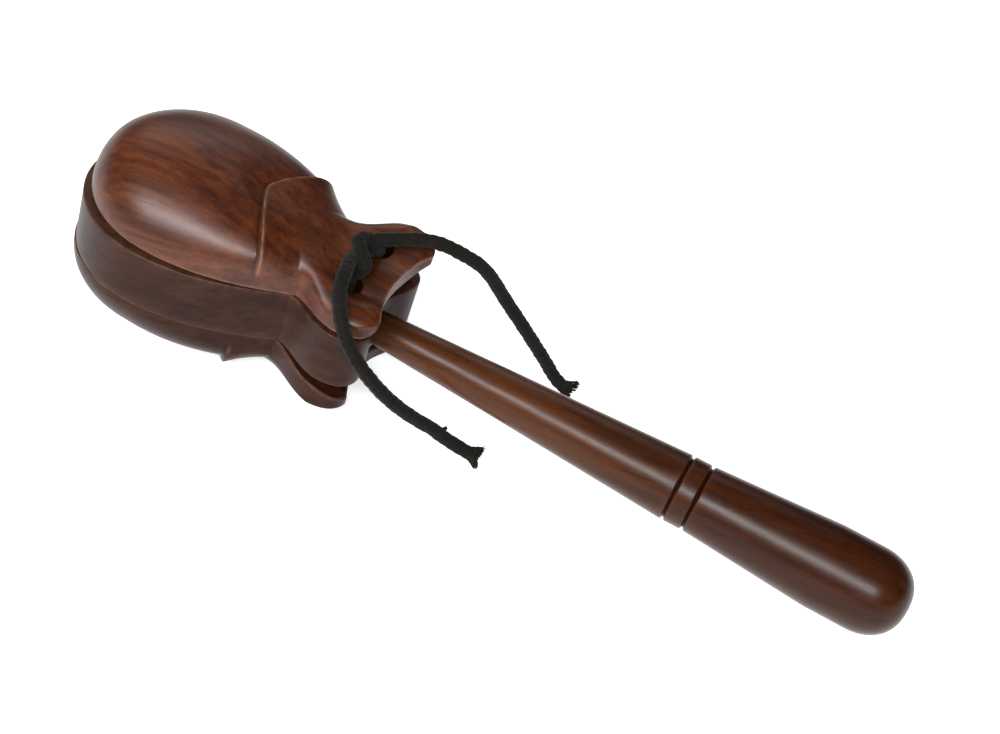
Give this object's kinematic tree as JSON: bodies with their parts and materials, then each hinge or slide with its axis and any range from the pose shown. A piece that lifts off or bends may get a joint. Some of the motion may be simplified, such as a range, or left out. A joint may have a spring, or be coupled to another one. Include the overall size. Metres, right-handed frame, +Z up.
{
  "type": "handle castanets",
  "caption": "Hollowed wooden shells corded to both faces of a thick plate on a turned handle; the shells rock at the waist and clap on the plate.",
  "frame": {"origin": "on the table under the middle of the instrument's length, cord tails left out", "axes": "+X down the handle towards the butt, +Y across the ears, +Z up from the table"},
  "size_m": [0.2905, 0.078, 0.0699],
  "materials": {
    "plate_wood": "satin lacquer",
    "shell_wood": "satin lacquer",
    "handle_wood": "satin lacquer",
    "cord_cotton": "matt braid"
  },
  "bodies": {
    "frame": {"centre_plate": "plate_wood", "handle": "handle_wood", "cord_loop": "cord_cotton", "cord_tail_near": "cord_cotton", "cord_tail_far": "cord_cotton", "cord_fray_near": "cord_cotton", "cord_fray_far": "cord_cotton"},
    "upper": {"upper_shell": "shell_wood", "cord_knot": "cord_cotton"},
    "lower": {"lower_shell": "shell_wood"}
  },
  "joints": [
    {"name": "upper_heel", "type": "hinge", "parent": "frame", "child": "upper", "pos_m": [-0.06114, 0, 0.03989], "axis": [0, 1, 0], "range_deg": [-2, 3]},
    {"name": "lower_heel", "type": "hinge", "parent": "frame", "child": "lower", "pos_m": [-0.06578, 0, 0.02041], "axis": [0, -1, 0], "range_deg": [0, 11]}
  ]
}
